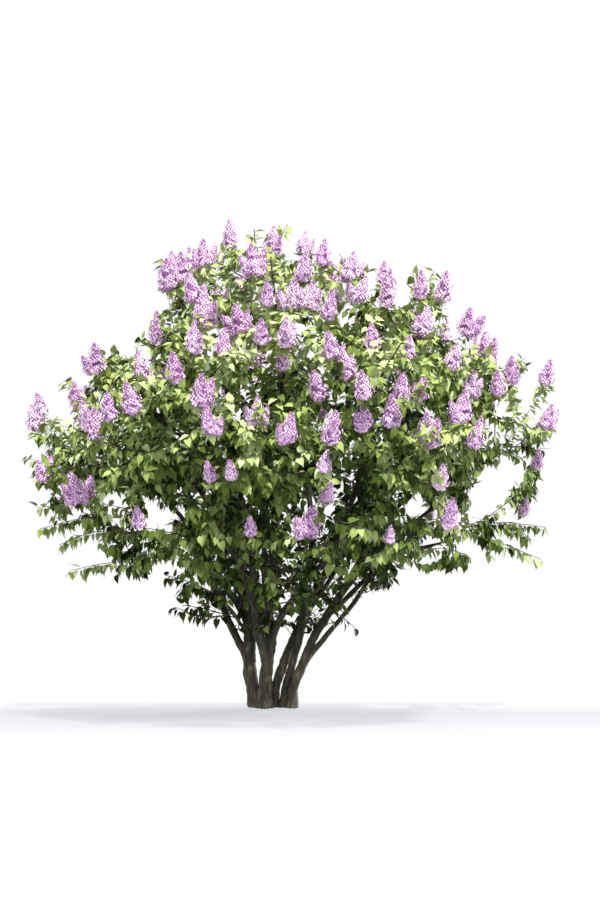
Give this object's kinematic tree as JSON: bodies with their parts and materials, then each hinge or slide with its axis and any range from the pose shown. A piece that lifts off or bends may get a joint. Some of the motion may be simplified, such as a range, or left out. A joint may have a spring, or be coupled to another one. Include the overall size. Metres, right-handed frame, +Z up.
{
  "type": "lilac bush",
  "caption": "Flowering lilac bush rooted in the ground: leaning stems and tapering boughs under a broad, rounded crown of leafy twigs with upright flower heads.",
  "frame": {"origin": "centre of the main stem's flat cut at ground level", "axes": "+Z up along the stems; +X to the right as the bush is seen from its front; the front, the side that the picture shows, faces -Y"},
  "size_m": [3.3444, 3.1195, 3.0508],
  "materials": {
    "bark": "rough grey-brown bark, matt",
    "leaf": "fresh green leaves, satin above and paler below",
    "blossom": "soft lilac florets, matt"
  },
  "bodies": {
    "root": {"bough_shoulder_back": "bark", "bough_shoulder_back_left": "bark", "bough_shoulder_back_right": "bark", "bough_shoulder_front_left": "bark", "bough_shoulder_front_right": "bark", "bough_shoulder_left": "bark", "bough_shoulder_right": "bark", "bough_skirt_back_left": "bark", "bough_skirt_back_right": "bark", "bough_skirt_front_left": "bark", "bough_skirt_front_right": "bark", "bough_skirt_left": "bark", "bough_skirt_right": "bark", "bough_waist_back": "bark", "bough_waist_back_left": "bark", "bough_waist_back_right": "bark", "bough_waist_front": "bark", "bough_waist_front_left": "bark", "bough_waist_front_right": "bark", "bough_waist_left": "bark", "bough_waist_right": "bark", "foliage_crest_back_left": "leaf", "foliage_crest_back_right": "leaf", "foliage_crest_front": "leaf", "foliage_crest_left": "leaf", "foliage_crest_right": "leaf", "foliage_inner_back": "leaf", "foliage_inner_front": "leaf", "foliage_inner_left": "leaf", "foliage_inner_right": "leaf", "foliage_shoulder_back": "leaf", "foliage_shoulder_back_left": "leaf", "foliage_shoulder_back_right": "leaf", "foliage_shoulder_front_left": "leaf", "foliage_shoulder_front_right": "leaf", "foliage_shoulder_left": "leaf", "foliage_shoulder_right": "leaf", "foliage_skirt_back_left": "leaf", "foliage_skirt_back_right": "leaf", "foliage_skirt_front_left": "leaf", "foliage_skirt_front_right": "leaf", "foliage_skirt_left": "leaf", "foliage_skirt_right": "leaf", "foliage_summit": "leaf", "foliage_waist_back": "leaf", "foliage_waist_back_left": "leaf", "foliage_waist_back_right": "leaf", "foliage_waist_front": "leaf", "foliage_waist_front_left": "leaf", "foliage_waist_front_right": "leaf", "foliage_waist_left": "leaf", "foliage_waist_right": "leaf", "stem_inner": "bark", "stem_left": "bark", "stem_main": "bark", "stem_middle": "bark", "stem_rear": "bark", "stem_right": "bark"}
  },
  "joints": []
}
